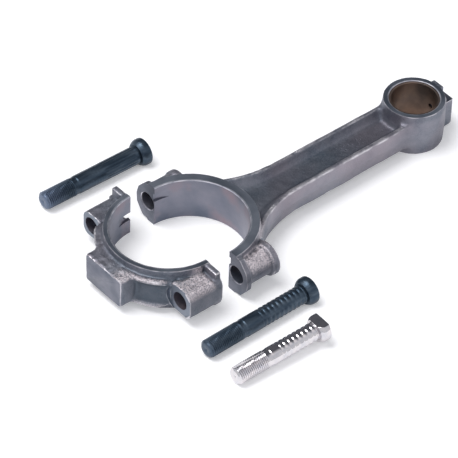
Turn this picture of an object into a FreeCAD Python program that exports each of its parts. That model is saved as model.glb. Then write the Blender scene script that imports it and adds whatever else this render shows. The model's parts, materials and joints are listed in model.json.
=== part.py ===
import FreeCAD, Part
import math
import os

# Engine connecting rod laid out on a bench: rod forging with its bush, cap taken off, three bolts, two nuts.
# Millimetres. Origin: centre of the big-end bore at mid-width. +X to the small end, +Z along both bores.

# bolts and nuts
shank_r = 4.76
thread_pitch = 1.058
thread_depth = 0.55
thread_flank = 0.42
thread_root = 0.21
thread_runout = 0.5
tip_chamfer = 0.8
neck_cut = 0.35
neck_length = 2.0
neck_ramp = 0.4
head_r = 7.1
head_flat = 5.0
head_height = 5.4
head_edge = 0.7
rib_pitch = 2.7
rib_depth = 0.28
rib_groove_half = 0.95
rib_floor_half = 0.4
rib_end_gap = 0.5
flute_count = 14
flute_r = 0.5
flute_depth = 0.28
flute_start_gap = 9.5
flute_end_gap = 1.5
nut_across_flats = 14.29
nut_height = 8.3
nut_chamfer = 0.55
nut_thread_wall = 0.31

# length, thread, and where the plain stretch ends and the ribs begin
fluted_length = 63.0
fluted_thread = 17.5
ribbed_length = 66.0
ribbed_thread = 20.4
ribbed_plain = 12.0
polished_length = 53.4
polished_thread = 18.0
polished_plain = 7.8

# rod forging
centre_distance = 144.78
big_bore_r = 28.25
end_width = 23.9
rod_rim_wall = 5.05
bolt_to_bore_wall = 0.55
bolt_clearance = 0.04
ear_wall = 3.6
joint_plate = 3.4
joint_plate_drop = 0.9
joint_plate_corner = 6.0
bolt_boss_wall = 3.2
head_flange_wall = 4.9
head_flange = 3.5
head_seat_x = 20.5
head_room = 11.0
web_half = 2.6
shoulder_wall = 1.0
shoulder_half = 4.6
beam_half_depth = 7.4
beam_half_width = 11.0
beam_small_half_width = 10.4
beam_draft = 0.9
beam_flange = 2.2
beam_root_x = 17.0
flare_r = 57.0
flare_end_x = 60.0
neck_r = 15.0
pocket_floor_side = 2.4
pocket_ring_gap = 0.4
pocket_root_angle = 31.5
pocket_end_gap = 3.0
pocket_nose_share = 0.55
small_wall = 2.8
tip_pad_wall = 4.32
tip_pad_half = 7.5
tip_pad_half_height = 8.6
tip_pad_foot = 0.6
tip_pad_cut = 3.2
oil_hole_r = 1.4
tang_slot = 4.8
tang_depth = 1.7
tang_length = 8.0
rod_tang_z = 5.6

# bush in the small end
pin_bore_r = 11.78
bush_wall = 1.1
bush_recess = 0.3
bush_chamfer = 0.3

# cap, and how far it lies from the closed joint
cap_gap_x = 12.7
cap_gap_y = 2.9
cap_rim_wall = 2.95
cap_shell_wall = 7.2
cap_shell_half = 8.2
cap_channel_half = 4.4
cap_channel_depth = 2.0
cap_seat_x = 19.8
cap_boss_half = 8.3
cap_boss_round = 5.0
cap_plate = 2.8
cap_plate_drop = 0.9
cap_step = 2.1
cap_pad_wall = 11.45
cap_pad_half = 13.3
cap_pad_half_height = 8.3
cap_pad_round = 2.0
cap_tang_z = -0.7
nut_spot_clearance = 0.25

# where the loose pieces lie, measured from the ears' outer sides and from the forging, headings in degrees
fluted_bolt_gap = 29.0
fluted_tip_x = -35.4
fluted_heading = -1.6
ribbed_bolt_gap = 16.7
ribbed_tip_x = -39.6
ribbed_heading = 0.6
polished_bolt_gap = 38.9
polished_tip_x = -40.7
polished_heading = -2.0
nut_gap = 1.0
nut_line = 48.5
near_nut_line = 46.0

# how far joined blocks and cutters run past the surface they meet
bite = 1.0

# values that follow from the ones above
half_width = end_width / 2.0
bench_z = -half_width
bolt_hole_r = shank_r + bolt_clearance
bolt_y = big_bore_r + bolt_to_bore_wall + bolt_hole_r
ear_out = bolt_y + bolt_hole_r + ear_wall
boss_r = bolt_hole_r + bolt_boss_wall
head_flange_r = bolt_hole_r + head_flange_wall
nut_corner_r = nut_across_flats / math.sqrt(3.0)
nut_bore_r = shank_r - nut_thread_wall
nut_spot_r = nut_corner_r + nut_spot_clearance
bush_outer_r = pin_bore_r + bush_wall
small_r = bush_outer_r + small_wall
tip_pad_x = small_r + tip_pad_wall
rod_rim_r = big_bore_r + rod_rim_wall
cap_rim_r = big_bore_r + cap_rim_wall
cap_shell_r = big_bore_r + cap_shell_wall
cap_pad_x = big_bore_r + cap_pad_wall
SIDES = (1.0, -1.0)

X = FreeCAD.Vector(1, 0, 0)
Y = FreeCAD.Vector(0, 1, 0)
Z = FreeCAD.Vector(0, 0, 1)


def point(x, y, z=0.0):
    return FreeCAD.Vector(x, y, z)


def disc(r, half, x=0.0, y=0.0):
    """A round plate on an axis along Z, centred on mid-width."""
    return Part.makeCylinder(r, 2.0 * half, point(x, y, -half), Z)


def bar(r, x0, x1, y, z=0.0):
    """A round bar along X."""
    return Part.makeCylinder(r, x1 - x0, point(x0, y, z), X)


def block(x0, x1, y0, y1, z0, z1):
    return Part.makeBox(x1 - x0, y1 - y0, z1 - z0, point(x0, y0, z0))


def side_block(side, x0, x1, y0, y1, half):
    """A block on the +Y or the -Y side, centred on mid-width."""
    low, high = sorted((side * y0, side * y1))
    return block(x0, x1, low, high, -half, half)


def rounded(body, radius):
    """The block with its four edges along X rounded."""
    edges = [e for e in body.Edges if abs(e.tangentAt(e.FirstParameter).x) > 0.9]
    return body.makeFillet(radius, edges)


def fuse(first, *others):
    return first.fuse(list(others)).removeSplitter()


def beam_outline(grow):
    """Plan outline of the beam: straight sides, flared to the big end and necked into the small end."""
    wide = beam_half_width + grow
    narrow = beam_small_half_width + grow
    ring = small_r + grow
    reach = math.sqrt((ring + neck_r) ** 2 - (narrow + neck_r) ** 2)
    neck_x = centre_distance - reach
    share = ring / (ring + neck_r)
    touch = point(centre_distance - reach * share, (narrow + neck_r) * share)
    half_turn = math.acos((narrow + neck_r) / (ring + neck_r)) / 2.0
    middle = point(neck_x + neck_r * math.sin(half_turn), narrow + neck_r - neck_r * math.cos(half_turn))
    flare_c = wide + flare_r
    start = point(beam_root_x, flare_c - math.sqrt(flare_r ** 2 - (flare_end_x - beam_root_x) ** 2))
    mid_x = (beam_root_x + flare_end_x) / 2.0
    mid = point(mid_x, flare_c - math.sqrt(flare_r ** 2 - (flare_end_x - mid_x) ** 2))
    top = [start, mid, point(flare_end_x, wide), point(neck_x, narrow), middle, touch]
    low = [point(p.x, -p.y) for p in top]
    return Part.Wire([
        Part.Arc(top[0], top[1], top[2]).toShape(),
        Part.makeLine(top[2], top[3]),
        Part.Arc(top[3], top[4], top[5]).toShape(),
        Part.Arc(top[5], point(centre_distance + ring, 0), low[5]).toShape(),
        Part.Arc(low[5], low[4], low[3]).toShape(),
        Part.makeLine(low[3], low[2]),
        Part.Arc(low[2], low[1], low[0]).toShape(),
        Part.makeLine(low[0], top[0]),
    ])


def raised(wire, z):
    copy = wire.copy()
    copy.translate(point(0, 0, z))
    return copy


def beam():
    """The beam's outer form, with draft on both sides of mid-width."""
    halves = []
    for side in SIDES:
        wires = [raised(beam_outline(beam_draft), 0.0), raised(beam_outline(0.0), side * beam_half_depth)]
        halves.append(Part.makeLoft(wires, True, True))
    return fuse(*halves)


def pocket_outline(shrink):
    """Plan outline of the pocket between the flanges."""
    inset = beam_flange + shrink
    wide = beam_half_width - inset
    narrow = beam_small_half_width - inset
    radius = flare_r + inset
    bulge = rod_rim_r + pocket_ring_gap + shrink
    start_x = bulge * math.cos(math.radians(pocket_root_angle))
    end_x = centre_distance - small_r - pocket_end_gap - shrink
    centre_y = wide + radius
    start_y = centre_y - math.sqrt(radius ** 2 - (flare_end_x - start_x) ** 2)
    mid_x = (start_x + flare_end_x) / 2.0
    mid_y = centre_y - math.sqrt(radius ** 2 - (flare_end_x - mid_x) ** 2)
    nose = narrow * pocket_nose_share
    return Part.Wire([
        Part.Arc(point(start_x, start_y), point(mid_x, mid_y), point(flare_end_x, wide)).toShape(),
        Part.makeLine(point(flare_end_x, wide), point(end_x - nose, narrow)),
        Part.Arc(point(end_x - nose, narrow), point(end_x, 0), point(end_x - nose, -narrow)).toShape(),
        Part.makeLine(point(end_x - nose, -narrow), point(flare_end_x, -wide)),
        Part.Arc(point(flare_end_x, -wide), point(mid_x, -mid_y), point(start_x, -start_y)).toShape(),
        Part.Arc(point(start_x, -start_y), point(bulge, 0), point(start_x, start_y)).toShape(),
    ])


def pocket(side):
    wires = [raised(pocket_outline(0.0), side * beam_half_depth),
             raised(pocket_outline(pocket_floor_side), side * web_half)]
    return Part.makeLoft(wires, True, True)


def rod_ear(side):
    """Joint plate, bolt boss and head flange on one side of the big end."""
    half = half_width - joint_plate_drop
    plate = rounded(side_block(side, 0.0, joint_plate, big_bore_r - bite, ear_out, half), joint_plate_corner)
    inner = side_block(side, 0.0, joint_plate, big_bore_r - bite, bolt_y, half)
    boss = bar(boss_r, 0.0, head_seat_x, side * bolt_y)
    flange = bar(head_flange_r, head_seat_x - head_flange, head_seat_x, side * bolt_y)
    return [plate, inner, boss, flange]


def tang(side, z):
    """Cutter for a bearing tang's slot: deepest at the joint face, it runs out in the bore."""
    bore_fall = big_bore_r - math.sqrt(big_bore_r ** 2 - tang_length ** 2)
    fall = tang_depth + bore_fall
    cutter_r = (tang_length ** 2 + fall ** 2) / (2.0 * fall)
    centre_y = side * (big_bore_r + tang_depth - cutter_r)
    return Part.makeCylinder(cutter_r, tang_slot, point(0, centre_y, z - tang_slot / 2.0), Z)


def tip_pad():
    """The balance pad past the small end, ground lower on its -Y half."""
    x1 = centre_distance + tip_pad_x
    pad = block(centre_distance, x1, -tip_pad_half, tip_pad_half, bench_z + tip_pad_foot, tip_pad_half_height)
    ground = block(centre_distance + small_r - bite, x1 + bite, -tip_pad_half - bite, 0.0,
                   tip_pad_half_height - tip_pad_cut, half_width)
    return pad.cut(ground)


def rod_forging():
    pieces = [disc(rod_rim_r, half_width), disc(rod_rim_r + shoulder_wall, shoulder_half)]
    pieces.append(beam().cut(pocket(1.0)).cut(pocket(-1.0)))
    for side in SIDES:
        pieces += rod_ear(side)
    pieces += [disc(small_r, half_width, centre_distance), tip_pad()]
    body = fuse(*pieces)
    cuts = [block(-2.0 * rod_rim_r, 0.0, -2.0 * ear_out, 2.0 * ear_out, -end_width, end_width)]
    cuts += [disc(big_bore_r, end_width), disc(bush_outer_r, end_width, centre_distance)]
    for side in SIDES:
        cuts.append(bar(bolt_hole_r, -bite, head_seat_x + bite, side * bolt_y))
        # the head seats are faced back to the ring, so that a bolt head goes in
        cuts.append(bar(head_flange_r, head_seat_x, head_seat_x + head_room, side * bolt_y))
        cuts.append(tang(side, rod_tang_z))
    cuts.append(bar(oil_hole_r, centre_distance, centre_distance + tip_pad_x + bite, 0.0))
    return body.cut(cuts).removeSplitter()


def small_end_bush():
    half = half_width - bush_recess
    body = disc(bush_outer_r, half, centre_distance).cut(disc(pin_bore_r, half + bite, centre_distance))
    edges = [e for e in body.Edges if abs(e.Length - 2.0 * math.pi * pin_bore_r) < 0.01]
    body = body.makeChamfer(bush_chamfer, edges)
    return body.cut(bar(oil_hole_r, centre_distance, centre_distance + small_r, 0.0))


def cap_boss(side):
    """Nut boss and joint plate on one side of the cap."""
    boss = side_block(side, -cap_seat_x, 0.0, big_bore_r - bite, ear_out, cap_boss_half)
    boss = rounded(boss, cap_boss_round)
    inner = side_block(side, -cap_seat_x, 0.0, big_bore_r - bite, bolt_y, cap_boss_half)
    plate_half = half_width - cap_plate_drop
    plate = side_block(side, -cap_plate, 0.0, big_bore_r - bite, ear_out - cap_step, plate_half)
    return [boss, inner, plate]


def rod_cap():
    """The cap, made in the rod's frame with the joint closed and then moved to where it lies."""
    shell = disc(cap_shell_r, cap_shell_half)
    channel = disc(cap_shell_r + bite, cap_channel_half)
    channel = channel.cut(disc(cap_shell_r - cap_channel_depth, cap_channel_half))
    pad = block(-cap_pad_x, 0.0, -cap_pad_half, cap_pad_half, -cap_pad_half_height, cap_pad_half_height)
    pad = rounded(pad, cap_pad_round)
    pieces = [disc(cap_rim_r, half_width), shell.cut(channel), pad]
    for side in SIDES:
        pieces += cap_boss(side)
    body = fuse(*pieces)
    cuts = [block(0.0, 2.0 * cap_shell_r, -2.0 * ear_out, 2.0 * ear_out, -end_width, end_width)]
    cuts.append(disc(big_bore_r, end_width))
    for side in SIDES:
        cuts.append(bar(bolt_hole_r, -cap_seat_x - bite, bite, side * bolt_y))
        # spot faces for the nuts
        cuts.append(bar(nut_spot_r, -cap_seat_x - nut_height, -cap_seat_x, side * bolt_y))
    cuts.append(tang(1.0, cap_tang_z))
    cap = body.cut(cuts).removeSplitter()
    cap.translate(point(-cap_gap_x, cap_gap_y, 0.0))
    return cap


def bolt_profile(thread, total, grooves):
    """Half section of a bolt from its tip at x 0: thread ridges, neck, shank with any grooves, head."""
    root = shank_r - thread_depth
    neck_r_min = shank_r - neck_cut
    points = [point(0, 0), point(0, shank_r - tip_chamfer), point(tip_chamfer, shank_r)]
    turns = int((thread - tip_chamfer) / thread_pitch)
    for i in range(turns):
        x = tip_chamfer + i * thread_pitch
        points += [point(x + thread_flank, root), point(x + thread_flank + thread_root, root)]
        points.append(point(x + thread_pitch, shank_r))
    neck = tip_chamfer + turns * thread_pitch + thread_runout
    points += [point(neck, neck_r_min), point(neck + neck_length, neck_r_min)]
    points.append(point(neck + neck_length + neck_ramp, shank_r))
    for x in grooves:
        points += [point(x - rib_groove_half, shank_r), point(x - rib_floor_half, shank_r - rib_depth)]
        points += [point(x + rib_floor_half, shank_r - rib_depth), point(x + rib_groove_half, shank_r)]
    under = total - head_height
    points += [point(under, shank_r), point(under, head_r - head_edge), point(under + head_edge, head_r)]
    points += [point(total - head_edge, head_r), point(total, head_r - head_edge)]
    points += [point(total, 0), point(0, 0)]
    return points


def bolt(thread, total, grooves=()):
    """A bolt along +X from its tip, its head cut flat on its lower side."""
    face = Part.Face(Part.makePolygon(bolt_profile(thread, total, grooves)))
    body = face.revolve(point(0, 0, 0), X, 360.0)
    flat = block(total - head_height, total + bite, -2.0 * head_r, 2.0 * head_r, -2.0 * head_r, -head_flat)
    return body.cut(flat)


def lay_down(body, total, head_low, place, heading):
    """Rest a bolt on the bench, on its thread and its head, which reaches head_low below the axis."""
    tilt = math.degrees(math.asin((head_low - shank_r) / (total - head_height / 2.0)))
    body.rotate(point(0, 0, 0), Y, -tilt)
    body.rotate(point(0, 0, 0), Z, heading)
    place.z = bench_z - body.optimalBoundingBox().ZMin
    body.translate(place)
    return body


def rib_places(first, last):
    count = int((last - first) / rib_pitch)
    return [first + rib_pitch * (i + 0.5) for i in range(count)]


def fluted_bolt():
    body = bolt(fluted_thread, fluted_length)
    x0 = fluted_thread + flute_start_gap
    x1 = fluted_length - head_height - flute_end_gap
    reach = shank_r + flute_r - flute_depth
    for i in range(flute_count):
        angle = 2.0 * math.pi * i / flute_count
        body = body.cut(bar(flute_r, x0, x1, reach * math.cos(angle), reach * math.sin(angle)))
    place = point(fluted_tip_x, ear_out + fluted_bolt_gap)
    return lay_down(body, fluted_length, head_flat, place, fluted_heading)


def ribbed_bolt():
    ribs = rib_places(ribbed_thread + ribbed_plain, ribbed_length - head_height - rib_end_gap)
    body = bolt(ribbed_thread, ribbed_length, ribs)
    place = point(ribbed_tip_x, -ear_out - ribbed_bolt_gap)
    return lay_down(body, ribbed_length, head_flat, place, ribbed_heading)


def polished_bolt():
    """The shorter bolt, which lies with the flat of its head up."""
    ribs = rib_places(polished_thread + polished_plain, polished_length - head_height - rib_end_gap)
    body = bolt(polished_thread, polished_length, ribs)
    body.rotate(point(0, 0, 0), X, 180.0)
    place = point(polished_tip_x, -ear_out - polished_bolt_gap)
    return lay_down(body, polished_length, head_r, place, polished_heading)


def nut(x, y, turn):
    """A hexagon nut lying flat on the bench, two flats square to the turn angle."""
    angles = [math.radians(60 * i + 30) for i in range(7)]
    ring = [point(nut_corner_r * math.cos(a), nut_corner_r * math.sin(a)) for a in angles]
    body = Part.Face(Part.makePolygon(ring)).extrude(point(0, 0, nut_height))
    edge_r = nut_corner_r - nut_chamfer
    body = body.common(Part.makeCone(edge_r + nut_height, edge_r, nut_height))
    body = body.common(Part.makeCone(edge_r, edge_r + nut_height, nut_height))
    body = body.cut(Part.makeCylinder(nut_bore_r, nut_height))
    body.rotate(point(0, 0, 0), Z, turn)
    body.translate(point(x, y, bench_z))
    return body


def rod_nut_near():
    """Lies beside the big end, clear of the head flange and the flare."""
    reach = rod_rim_r + nut_corner_r + nut_gap
    angle = math.radians(near_nut_line)
    return nut(reach * math.cos(angle), reach * math.sin(angle), nut_line)


def rod_nut_far():
    """Lies beside the small end."""
    reach = small_r + nut_across_flats / 2.0 + nut_gap
    angle = math.radians(nut_line)
    return nut(centre_distance + reach * math.cos(angle), reach * math.sin(angle), nut_line)


NODES = {
    "rod_forging": rod_forging,
    "small_end_bush": small_end_bush,
    "rod_cap": rod_cap,
    "fluted_bolt": fluted_bolt,
    "ribbed_bolt": ribbed_bolt,
    "polished_bolt": polished_bolt,
    "rod_nut_near": rod_nut_near,
    "rod_nut_far": rod_nut_far,
}

os.makedirs("parts", exist_ok=True)
for name, make in NODES.items():
    shape = make()
    print(name, "solids", len(shape.Solids), "valid", shape.isValid(), "volume", round(shape.Volume, 1))
    shape.exportStep("parts/" + name + ".step")
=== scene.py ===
import json
import math
import bmesh
import bpy
import numpy as np
from mathutils import Matrix, Vector, kdtree


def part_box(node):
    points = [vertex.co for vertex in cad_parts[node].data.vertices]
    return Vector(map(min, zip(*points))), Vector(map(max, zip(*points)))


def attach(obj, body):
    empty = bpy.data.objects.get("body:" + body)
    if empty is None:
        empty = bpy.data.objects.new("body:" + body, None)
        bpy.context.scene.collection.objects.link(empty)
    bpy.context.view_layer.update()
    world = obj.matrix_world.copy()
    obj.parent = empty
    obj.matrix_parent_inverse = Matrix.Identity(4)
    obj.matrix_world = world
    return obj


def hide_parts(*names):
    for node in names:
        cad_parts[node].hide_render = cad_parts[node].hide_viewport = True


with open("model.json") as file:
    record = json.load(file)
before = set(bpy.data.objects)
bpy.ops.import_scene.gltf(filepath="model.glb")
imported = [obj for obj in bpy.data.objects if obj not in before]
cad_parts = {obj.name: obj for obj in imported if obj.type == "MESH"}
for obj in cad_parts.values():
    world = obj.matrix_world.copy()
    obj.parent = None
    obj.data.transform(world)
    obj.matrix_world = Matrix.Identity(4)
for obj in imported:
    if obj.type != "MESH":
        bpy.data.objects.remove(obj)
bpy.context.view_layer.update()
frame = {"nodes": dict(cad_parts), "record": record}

# An engine connecting rod laid out in its pieces on a pale bench.
# Sizes in the dictionaries are in millimetres and degrees, mm turns them into metres.
mm = 0.001

# places that every piece shares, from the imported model
mounts = {row["name"]: row for row in frame["record"]["mounts"]}
halfWidth = mounts["big_end_bore"]["dims"]["length_mm"] / 2
boreR = mounts["big_end_bore"]["dims"]["r_mm"]
smallX = mounts["piston_pin_bore"]["pos_m"][0] / mm
boltY = mounts["rod_bolt_holes"]["dims"]["spacing_x_mm"] / 2
holeR = mounts["rod_bolt_holes"]["dims"]["hole_r_mm"]
capX, capY = [value / mm for value in mounts["cap_bore"]["pos_m"][:2]]
bushR = (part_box("small_end_bush")[1].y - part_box("small_end_bush")[0].y) / 2 / mm
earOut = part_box("rod_forging")[1].y / mm
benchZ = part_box("rod_forging")[0].z / mm
print("frame loaded, bench at", round(benchZ, 2))


def feed(tree, socket, value):
    if isinstance(value, bpy.types.NodeSocket):
        tree.links.new(value, socket)
    else:
        socket.default_value = value


def put(tree, kind, inputs=None, **settings):
    made = tree.nodes.new(kind)
    for name, value in settings.items():
        setattr(made, name, value)
    for name, value in (inputs or {}).items():
        feed(tree, made.inputs[name], value)
    return made


def maths(tree, operation, *values, clamp=False):
    inputs = dict(enumerate(values))
    return put(tree, "ShaderNodeMath", inputs, operation=operation, use_clamp=clamp).outputs[0]


def times(tree, a, b, clamp=False):
    return maths(tree, "MULTIPLY", a, b, clamp=clamp)


def plus(tree, a, b):
    return maths(tree, "ADD", a, b)


def minus(tree, a, b, clamp=False):
    return maths(tree, "SUBTRACT", a, b, clamp=clamp)


def over(tree, a, b, clamp=False):
    return maths(tree, "DIVIDE", a, b, clamp=clamp)


def between(tree, value, low, high):
    inputs = {"Value": value, "From Min": low, "From Max": high}
    return put(tree, "ShaderNodeMapRange", inputs).outputs["Result"]


def blendColour(tree, amount, first, second):
    return put(tree, "ShaderNodeMix", {0: amount, 6: first, 7: second}, data_type="RGBA").outputs[2]


def noise(tree, place, scale, detail, **more):
    inputs = {"Vector": place, "Scale": scale, "Detail": detail, **more}
    return put(tree, "ShaderNodeTexNoise", inputs).outputs[0]


def mapped(tree, place, **values):
    return put(tree, "ShaderNodeMapping", {"Vector": place, **values}).outputs[0]


def splitPlace(tree, place):
    return put(tree, "ShaderNodeSeparateXYZ", {"Vector": place}).outputs


def distance(tree, a, b):
    return maths(tree, "SQRT", plus(tree, times(tree, a, a), times(tree, b, b)))


def pointMask(tree, name):
    return put(tree, "ShaderNodeAttribute", attribute_name=name).outputs["Fac"]


def startGroup(name, inputs, outputs):
    # a shader group that reads a vector and the named numbers, and gives the named masks
    group = bpy.data.node_groups.new(name, "ShaderNodeTree")
    group.interface.new_socket(name="Vector", in_out="INPUT", socket_type="NodeSocketVector")
    for socket, value in inputs.items():
        made = group.interface.new_socket(name=socket, in_out="INPUT", socket_type="NodeSocketFloat")
        made.default_value = value
    for socket in outputs:
        group.interface.new_socket(name=socket, in_out="OUTPUT", socket_type="NodeSocketFloat")
    return group, group.nodes.new("NodeGroupInput").outputs, group.nodes.new("NodeGroupOutput").inputs


def useGroup(tree, group, inputs):
    return put(tree, "ShaderNodeGroup", inputs, node_tree=group).outputs


# noise scales of the forged skin, per metre
grain = {"lumps": 230.0, "pits": 620.0, "pitField": 120.0, "patches": 75.0, "heat": 28.0}


def buildForgedGrain():
    # scale skin of a hammer forging: fine grain, soft lumps, pits and slow colour patches
    group, given, result = startGroup("forgedGrain", {"Grain Size": 0.9, "Pit Amount": 0.4},
                                      ["Height", "Patches", "Heat", "Speckle"])
    place = given["Vector"]
    fine = noise(group, place, over(group, 1000.0, given["Grain Size"]), 5.0, Roughness=0.65)
    pits = put(group, "ShaderNodeTexVoronoi", {"Vector": place, "Scale": grain["pits"]}).outputs["Distance"]
    pitWhere = between(group, noise(group, place, grain["pitField"], 2.0), 0.52, 0.62)
    pitDepth = times(group, times(group, between(group, pits, 0.32, 0.12), pitWhere), given["Pit Amount"])
    mixed = plus(group, times(group, fine, 0.55), noise(group, place, grain["lumps"], 3.0))
    patches = noise(group, place, grain["patches"], 5.0, Roughness=0.62)
    heat = noise(group, place, grain["heat"], 3.0, Distortion=0.6)
    feed(group, result["Height"], minus(group, mixed, pitDepth))
    feed(group, result["Patches"], between(group, patches, 0.34, 0.66))
    feed(group, result["Heat"], between(group, heat, 0.45, 0.68))
    feed(group, result["Speckle"], between(group, fine, 0.42, 0.62))
    return group


def buildWornHighlightEdge():
    # bright metal along an edge, partly rubbed wear and partly a painted highlight, broken up along its
    # length
    group, given, result = startGroup("rubbedEdge", {"Edge": 0.0, "Amount": 1.0}, ["Mask"])
    broken = between(group, noise(group, given["Vector"], 170.0, 4.0), 0.25, 0.6)
    soft = between(group, times(group, given["Edge"], broken), 0.25, 0.85)
    feed(group, result["Mask"], times(group, soft, given["Amount"], clamp=True))
    return group


def buildTurningMarks():
    # circles left by a facing cutter round the piece's own centre, with slow stains
    group, given, result = startGroup("turningMarks", {"Spacing": 0.25}, ["Height", "Stain"])
    x, y, z = splitPlace(group, given["Vector"])
    turns = over(group, distance(group, x, y), times(group, given["Spacing"], mm))
    rings = put(group, "ShaderNodeTexNoise", {"W": turns, "Scale": 1.0, "Detail": 2.0}, noise_dimensions="1D")
    feed(group, result["Height"], rings.outputs[0])
    feed(group, result["Stain"], between(group, noise(group, given["Vector"], 45.0, 5.0), 0.35, 0.65))
    return group


forgedGrain = buildForgedGrain()
rubbedEdge = buildWornHighlightEdge()
turningMarks = buildTurningMarks()


def startMaterial(name, metallic=1.0, centre=(0, 0, 0)):
    material = bpy.data.materials.new(name)
    material.use_nodes = True
    tree = material.node_tree
    shader = tree.nodes["Principled BSDF"]
    shader.inputs["Metallic"].default_value = metallic
    place = put(tree, "ShaderNodeTexCoord").outputs["Object"]
    return material, tree, shader, mapped(tree, place, Location=tuple(-value * mm for value in centre))


def finishWith(tree, shader, colour, rough, height=None, depth=0.0):
    feed(tree, shader.inputs["Base Color"], colour)
    feed(tree, shader.inputs["Roughness"], rough)
    if height is not None:
        bump = put(tree, "ShaderNodeBump", {"Height": height, "Distance": depth * mm, "Strength": 1.0})
        feed(tree, shader.inputs["Normal"], bump.outputs[0])


# forged tones: the pale flank tone is a painted reflection, the pale speck tone a painted glint, the light
# edge tone partly wear and partly a painted highlight, and the darkest tone painted shade in hollows; the
# rest are the steel's own colours
forged = {"dark": (0.105, 0.128, 0.165, 1), "mid": (0.225, 0.235, 0.272, 1), "grit": (0.36, 0.36, 0.40, 1),
          "heat": (0.27, 0.205, 0.23, 1), "flank": (0.335, 0.318, 0.362, 1), "rubbed": (0.70, 0.68, 0.71, 1),
          "sparkle": (0.72, 0.655, 0.68, 1), "hollow": (0.055, 0.075, 0.098, 1), "grain": 0.8, "bump": 0.20}


def makeForged(name, grainSize, bumpDepth):
    material, tree, shader, place = startMaterial(name, 0.88)
    skin = useGroup(tree, forgedGrain, {"Vector": place, "Grain Size": grainSize, "Pit Amount": 0.5})
    edge, bright, hollow, flank, blush = [pointMask(tree, key)
                                          for key in ("edge", "bright", "hollow", "flank", "blush")]
    # edges and convex crests are lightened: partly rubbed wear, partly a painted highlight
    rubbed = useGroup(tree, rubbedEdge, {"Vector": place, "Edge": edge, "Amount": 0.9})["Mask"]
    # pale: painted reflection lightening the beam flanks that face outward
    pale = times(tree, flank, maths(tree, "MULTIPLY_ADD", skin["Patches"], 0.35, 0.65))
    warm = maths(tree, "MAXIMUM", times(tree, skin["Heat"], 0.30), times(tree, blush, 0.85))
    # painted glint: pale specks on the pitted metal of the marked tops; the same mask also deepens the pits
    sparkle = times(tree, bright, maths(tree, "MULTIPLY_ADD", skin["Speckle"], 1.0, 0.3), clamp=True)
    colour = blendColour(tree, skin["Patches"], forged["dark"], forged["mid"])
    # the hollow tone is painted shade in concave places and recesses
    layers = [(pale, "flank"), (times(tree, skin["Speckle"], 0.28), "grit"), (warm, "heat"),
              (sparkle, "sparkle"), (rubbed, "rubbed"), (times(tree, hollow, 0.75), "hollow")]
    for amount, key in layers:
        colour = blendColour(tree, amount, colour, forged[key])
    rough = plus(tree, minus(tree, 0.47, times(tree, rubbed, 0.18)), times(tree, skin["Speckle"], 0.10))
    height = times(tree, skin["Height"], plus(tree, 1.3, times(tree, bright, 3.2)))
    finishWith(tree, shader, colour, rough, height, bumpDepth)
    return material


# the edge tone is a painted highlight for the lines along the faced edges
machined = {"base": (0.26, 0.285, 0.335, 1), "stained": (0.165, 0.19, 0.235, 1),
            "edge": (0.62, 0.63, 0.68, 1), "bump": 0.035, "line": 0.45, "spacing": 0.22}
bored = {"base": (0.265, 0.265, 0.315, 1), "stained": (0.15, 0.17, 0.22, 1), "blush": (0.30, 0.245, 0.28, 1),
         "bump": 0.025, "lines": (60, 60, 2400)}
ground = {"base": (0.205, 0.21, 0.25, 1), "stained": (0.12, 0.135, 0.17, 1), "bump": 0.03,
          "lines": (120, 120, 1900)}
# chamfer tones: a painted highlight on the broken edges of bores and holes
chamferHighlightTone = {"base": (0.72, 0.71, 0.76, 1), "worn": (0.34, 0.35, 0.41, 1)}


def centred(tree, place, centre):
    return mapped(tree, place, Location=(-centre[0] * mm, -centre[1] * mm, 0))


def makeMachined(name, rings):
    # faced rings, each given by its centre and the radii of its two edges, with a thin painted highlight line
    # at each edge
    material, tree, shader, place = startMaterial(name, 0.95)
    line = 0.0
    for centre, radii in rings:
        x, y, z = splitPlace(tree, centred(tree, place, centre))
        for r in radii:
            away = maths(tree, "ABSOLUTE", minus(tree, distance(tree, x, y), r * mm))
            mask = between(tree, away, machined["line"] * mm, 0.15 * machined["line"] * mm)
            line = maths(tree, "MAXIMUM", line, mask)
    marks = useGroup(tree, turningMarks, {"Vector": centred(tree, place, rings[0][0]),
                                          "Spacing": machined["spacing"]})
    lighterMask = useGroup(tree, rubbedEdge, {"Vector": place, "Edge": line, "Amount": 0.9})["Mask"]
    colour = blendColour(tree, marks["Stain"], machined["stained"], machined["base"])
    colour = blendColour(tree, lighterMask, colour, machined["edge"])
    rough = plus(tree, 0.33, times(tree, marks["Stain"], 0.14))
    finishWith(tree, shader, colour, rough, marks["Height"], machined["bump"])
    return material


def makeBored(name, centre):
    # honed wall: fine lines round the bore, faint pink and blue stains
    material, tree, shader, place = startMaterial(name, 0.9, centre)
    marks = useGroup(tree, turningMarks, {"Vector": place, "Spacing": 0.5})
    lines = noise(tree, mapped(tree, place, Scale=bored["lines"]), 1.0, 3.0)
    colour = blendColour(tree, marks["Stain"], bored["stained"], bored["base"])
    pink = between(tree, noise(tree, place, 70.0, 3.0), 0.5, 0.72)
    colour = blendColour(tree, pink, colour, bored["blush"])
    finishWith(tree, shader, colour, plus(tree, 0.36, times(tree, lines, 0.16)), lines, bored["bump"])
    return material


def makeGround(name):
    # ground flat in straight passes
    material, tree, shader, place = startMaterial(name, 0.95)
    lines = noise(tree, mapped(tree, place, Scale=ground["lines"]), 1.0, 3.0)
    stain = between(tree, noise(tree, place, 90.0, 4.0), 0.35, 0.65)
    colour = blendColour(tree, stain, ground["stained"], ground["base"])
    finishWith(tree, shader, colour, plus(tree, 0.32, times(tree, lines, 0.2)), lines, ground["bump"])
    return material


def makeChamferHighlight(name):
    # chamfer faces of cut metal, coloured far lighter than the faced metal as a painted highlight
    material, tree, shader, place = startMaterial(name)
    haze = noise(tree, place, 260.0, 3.0)
    colour = blendColour(tree, between(tree, haze, 0.35, 0.65), chamferHighlightTone["worn"], chamferHighlightTone["base"])
    finishWith(tree, shader, colour, plus(tree, 0.25, times(tree, haze, 0.2)))
    return material


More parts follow.
